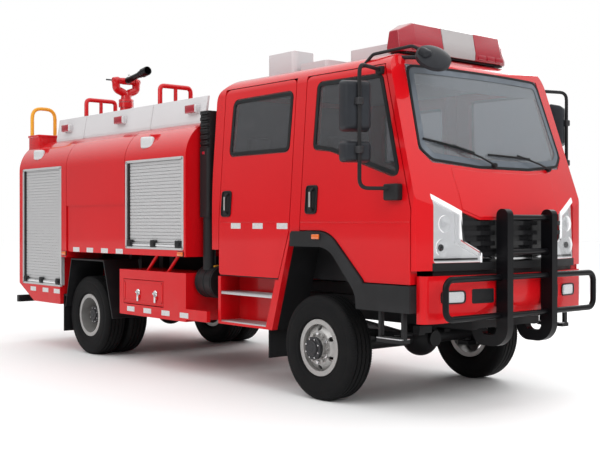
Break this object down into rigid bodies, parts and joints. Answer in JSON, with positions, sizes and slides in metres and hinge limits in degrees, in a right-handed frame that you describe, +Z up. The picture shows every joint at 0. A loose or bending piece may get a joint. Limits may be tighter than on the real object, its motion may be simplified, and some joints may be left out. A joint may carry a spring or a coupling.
{
  "type": "water tanker fire truck",
  "caption": "Crew-cab four-wheel-drive fire engine with a water tank body, roller-shutter lockers, opening cab doors, step boxes, twin rear tyres and a deck-mounted water cannon.",
  "frame": {"origin": "on the ground under the middle of the whole vehicle", "axes": "+X forward, +Y to the left of the vehicle, +Z up"},
  "size_m": [6.82, 2.82, 3.3413],
  "materials": {
    "body_red": "gloss red paint",
    "inner_red": "satin dark red paint",
    "white_paint": "gloss white paint",
    "chassis_black": "satin black paint",
    "drive_metal": "dull grey cast metal",
    "black_plastic": "grained black plastic",
    "clear_glass": "clear glazing",
    "seat_cloth": "woven dark cloth",
    "lamp_lens": "clear moulded lens",
    "signal_lens": "coloured moulded lens",
    "slat_aluminium": "satin anodised slats",
    "wheel_steel": "silver lacquered pressed steel",
    "tyre_rubber": "black tread rubber"
  },
  "bodies": {
    "chassis": {"cab_back_wall": "body_red", "cab_front_panel": "body_red", "cab_pillars": "body_red", "cab_roof": "body_red", "bumper": "body_red", "light_bar": "body_red", "front_locker": "body_red", "tank": "body_red", "pump_room": "body_red", "deck_rails": "body_red", "step_boxes": "body_red", "cab_steps": "body_red", "cannon_base": "body_red", "cab_floor": "inner_red", "deck_fence": "white_paint", "roof_unit": "white_paint", "frame": "chassis_black", "front_axle": "chassis_black", "rear_axle": "chassis_black", "leaf_springs": "chassis_black", "subframe": "chassis_black", "fuel_tank": "chassis_black", "guard_bar": "chassis_black", "rear_guards": "chassis_black", "powertrain": "drive_metal", "air_intake": "black_plastic", "grille": "black_plastic", "dashboard": "black_plastic", "arch_trims": "black_plastic", "look_down_mirror": "black_plastic", "windscreen": "clear_glass", "seats": "seat_cloth", "headlamps": "lamp_lens", "body_lamps": "signal_lens", "shutters": "slat_aluminium"},
    "monitor_head": {"cannon_head": "body_red"},
    "monitor_barrel": {"cannon_barrel": "chassis_black"},
    "front_door_right": {"door_front_right": "body_red", "glass_front_right": "clear_glass", "mirrors_right": "black_plastic"},
    "front_door_left": {"door_front_left": "body_red", "glass_front_left": "clear_glass", "mirrors_left": "black_plastic"},
    "rear_door_right": {"door_rear_right": "body_red", "glass_rear_right": "clear_glass"},
    "rear_door_left": {"door_rear_left": "body_red", "glass_rear_left": "clear_glass"},
    "step_flap_right": {"flap_right": "body_red"},
    "step_flap_left": {"flap_left": "body_red"},
    "steering_knuckle_right": {"knuckle_right": "chassis_black"},
    "steering_knuckle_left": {"knuckle_left": "chassis_black"},
    "front_wheel_right": {"rim_front_right": "wheel_steel", "tyre_front_right": "tyre_rubber"},
    "front_wheel_left": {"rim_front_left": "wheel_steel", "tyre_front_left": "tyre_rubber"},
    "rear_wheels_right": {"rim_rear_right": "wheel_steel", "tyre_rear_right": "tyre_rubber"},
    "rear_wheels_left": {"rim_rear_left": "wheel_steel", "tyre_rear_left": "tyre_rubber"}
  },
  "joints": [
    {"name": "steer_right", "type": "hinge", "parent": "chassis", "child": "steering_knuckle_right", "pos_m": [2.05, -0.8, 0.43], "axis": [0, 0, 1], "range_deg": [-32, 32]},
    {"name": "steer_left", "type": "hinge", "parent": "chassis", "child": "steering_knuckle_left", "pos_m": [2.05, 0.8, 0.43], "axis": [0, 0, 1], "range_deg": [-32, 32]},
    {"name": "roll_front_right", "type": "hinge", "parent": "steering_knuckle_right", "child": "front_wheel_right", "pos_m": [2.05, -0.925, 0.43], "axis": [0, 1, 0], "continuous": true},
    {"name": "roll_front_left", "type": "hinge", "parent": "steering_knuckle_left", "child": "front_wheel_left", "pos_m": [2.05, 0.925, 0.43], "axis": [0, 1, 0], "continuous": true},
    {"name": "roll_rear_right", "type": "hinge", "parent": "chassis", "child": "rear_wheels_right", "pos_m": [-1.75, -0.8175, 0.43], "axis": [0, 1, 0], "continuous": true},
    {"name": "roll_rear_left", "type": "hinge", "parent": "chassis", "child": "rear_wheels_left", "pos_m": [-1.75, 0.8175, 0.43], "axis": [0, 1, 0], "continuous": true},
    {"name": "front_door_right_swing", "type": "hinge", "parent": "chassis", "child": "front_door_right", "pos_m": [3.082, -1.038, 1.5], "axis": [0, 0, 1], "range_deg": [0, 65]},
    {"name": "front_door_left_swing", "type": "hinge", "parent": "chassis", "child": "front_door_left", "pos_m": [3.082, 1.038, 1.5], "axis": [0, 0, -1], "range_deg": [0, 65]},
    {"name": "rear_door_right_swing", "type": "hinge", "parent": "chassis", "child": "rear_door_right", "pos_m": [1.686, -1.038, 1.5], "axis": [0, 0, 1], "range_deg": [0, 65]},
    {"name": "rear_door_left_swing", "type": "hinge", "parent": "chassis", "child": "rear_door_left", "pos_m": [1.686, 1.038, 1.5], "axis": [0, 0, -1], "range_deg": [0, 65]},
    {"name": "step_flap_right_fold", "type": "hinge", "parent": "chassis", "child": "step_flap_right", "pos_m": [-0.524, -1.111, 0.632], "axis": [1, 0, 0], "range_deg": [0, 90]},
    {"name": "step_flap_left_fold", "type": "hinge", "parent": "chassis", "child": "step_flap_left", "pos_m": [-0.524, 1.111, 0.632], "axis": [-1, 0, 0], "range_deg": [0, 90]},
    {"name": "monitor_swing", "type": "hinge", "parent": "chassis", "child": "monitor_head", "pos_m": [-2.77, 0, 2.944], "axis": [0, 0, 1], "range_deg": [-170, 170]},
    {"name": "monitor_pitch", "type": "hinge", "parent": "monitor_head", "child": "monitor_barrel", "pos_m": [-2.77, 0, 3.21], "axis": [0, -1, 0], "range_deg": [-15, 60]}
  ],
  "couplings": [
    {"joint": "steer_left", "follows": "steer_right", "ratio": 1}
  ]
}
